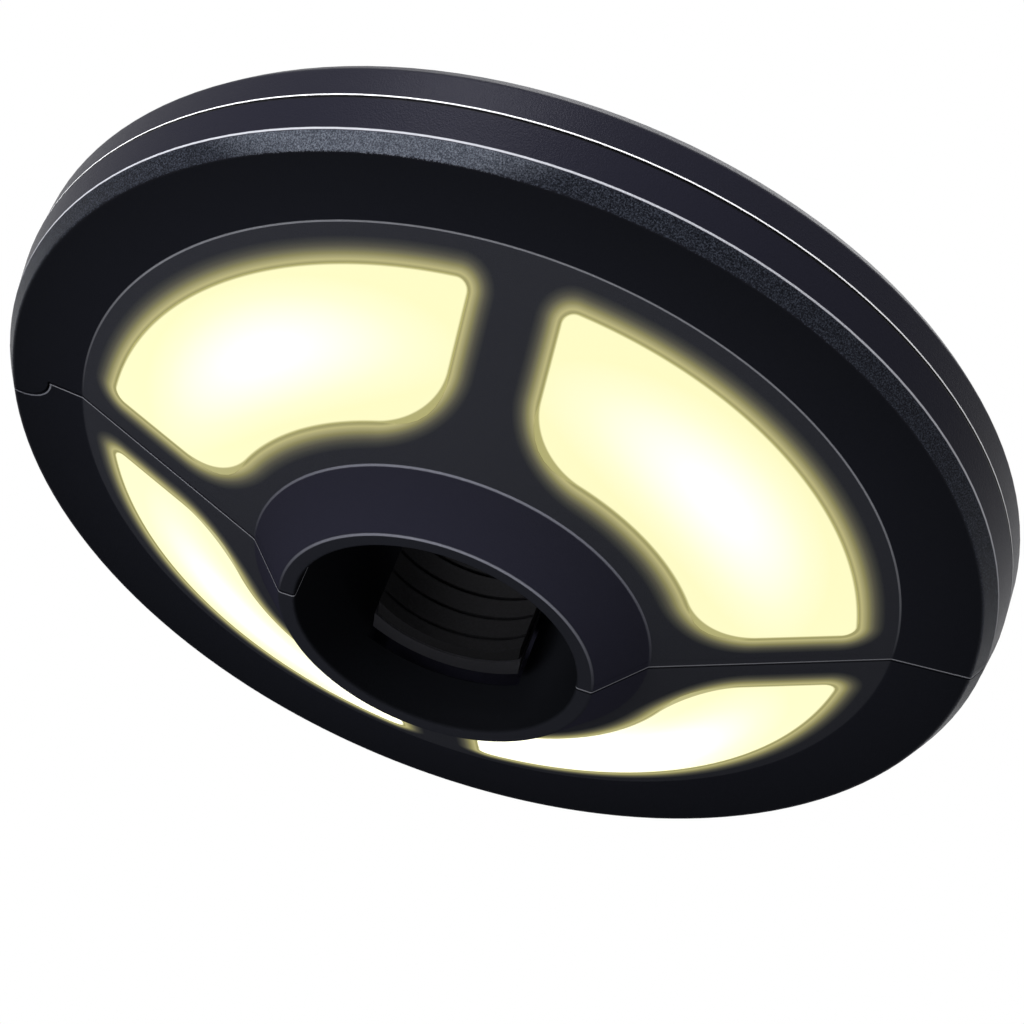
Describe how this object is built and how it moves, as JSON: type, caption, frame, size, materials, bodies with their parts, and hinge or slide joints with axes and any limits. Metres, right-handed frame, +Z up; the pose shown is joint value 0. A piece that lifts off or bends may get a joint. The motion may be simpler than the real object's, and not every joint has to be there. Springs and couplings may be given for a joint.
{
  "type": "patio umbrella light",
  "caption": "Round two-part lamp that hinges open, clamps round an umbrella pole with sprung jaws and shines down through curved diffusers on a sloping face.",
  "frame": {"origin": "on the pole's axis, halfway up the clamp pads", "axes": "+Z up along the pole, away from the lenses; X along the split between the halves, hinge at -X and latch at +X; the near half (with the power button) at -Y"},
  "size_m": [0.2022, 0.2022, 0.0524],
  "materials": {
    "body_plastic": "fine-grained matte ABS",
    "lens_diffuser": "opal diffuser, lit warm white",
    "white_board": "white solder mask",
    "green_board": "green solder mask",
    "lamp_chip": "yellow phosphor",
    "black_plastic": "satin moulded nylon",
    "pad_rubber": "matte rubber",
    "steel": "zinc-plated steel",
    "battery_can": "plain printed sleeve"
  },
  "bodies": {
    "near_half": {"housing_near": "body_plastic", "cover_near": "body_plastic", "lens_near_left": "lens_diffuser", "lens_near_right": "lens_diffuser", "light_board_near": "white_board", "lamps_near": "lamp_chip", "jaw_spring_near": "steel", "hinge_pin": "steel", "latch_spring": "steel", "power_switch": "steel", "control_board": "green_board", "control_screws": "steel", "cells_near": "battery_can", "contacts_near": "steel", "cover_screws_near": "steel", "board_screws_near": "steel"},
    "far_half": {"housing_far": "body_plastic", "cover_far": "body_plastic", "lens_far_left": "lens_diffuser", "lens_far_right": "lens_diffuser", "light_board_far": "white_board", "lamps_far": "lamp_chip", "jaw_spring_far": "steel", "latch_catch": "black_plastic", "catch_screw": "steel", "cells_far": "battery_can", "contacts_far": "steel", "cover_screws_far": "steel", "board_screws_far": "steel"},
    "jaw_near": {"jaw_near": "black_plastic", "jaw_pad_near": "pad_rubber", "jaw_clip_near": "steel"},
    "jaw_far": {"jaw_far": "black_plastic", "jaw_pad_far": "pad_rubber", "jaw_clip_far": "steel"},
    "latch_button": {"latch_button": "black_plastic"},
    "power_button": {"power_button": "black_plastic", "power_plunger": "black_plastic"},
    "battery_door_near": {"battery_door_near": "body_plastic"},
    "battery_door_far": {"battery_door_far": "body_plastic"},
    "hook_near": {"hook_near": "black_plastic"},
    "hook_far": {"hook_far": "black_plastic"}
  },
  "joints": [
    {"name": "half_swing", "type": "hinge", "parent": "near_half", "child": "far_half", "pos_m": [-0.0964, 0, 0.014], "axis": [0, 0, 1], "range_deg": [0, 60]},
    {"name": "jaw_near_slide", "type": "slide", "parent": "near_half", "child": "jaw_near", "axis": [0, -1, 0], "range_m": [0, 0.007], "stiffness_N_per_m": 400, "springref_m": -0.003, "deforming": ["jaw_spring_near"]},
    {"name": "jaw_far_slide", "type": "slide", "parent": "far_half", "child": "jaw_far", "axis": [0, 1, 0], "range_m": [0, 0.007], "stiffness_N_per_m": 400, "springref_m": -0.003, "deforming": ["jaw_spring_far"]},
    {"name": "latch_press", "type": "slide", "parent": "near_half", "child": "latch_button", "axis": [0, 0, -1], "range_m": [0, 0.0024], "stiffness_N_per_m": 200, "springref_m": -0.001, "deforming": ["latch_spring"]},
    {"name": "power_press", "type": "slide", "parent": "near_half", "child": "power_button", "axis": [0, 0, -1], "range_m": [0, 0.001], "stiffness_N_per_m": 150, "springref_m": -0.0005},
    {"name": "door_near_tilt", "type": "hinge", "parent": "near_half", "child": "battery_door_near", "pos_m": [0, -0.0715, 0.0258], "axis": [1, 0, 0], "range_deg": [0, 90]},
    {"name": "door_far_tilt", "type": "hinge", "parent": "far_half", "child": "battery_door_far", "pos_m": [0, 0.0715, 0.0258], "axis": [-1, 0, 0], "range_deg": [0, 90]},
    {"name": "hook_near_fold", "type": "hinge", "parent": "near_half", "child": "hook_near", "pos_m": [-0.047, -0.042, 0.026], "axis": [-1, 0, 0], "range_deg": [0, 90]},
    {"name": "hook_far_fold", "type": "hinge", "parent": "far_half", "child": "hook_far", "pos_m": [0.047, 0.042, 0.026], "axis": [1, 0, 0], "range_deg": [0, 90]}
  ]
}
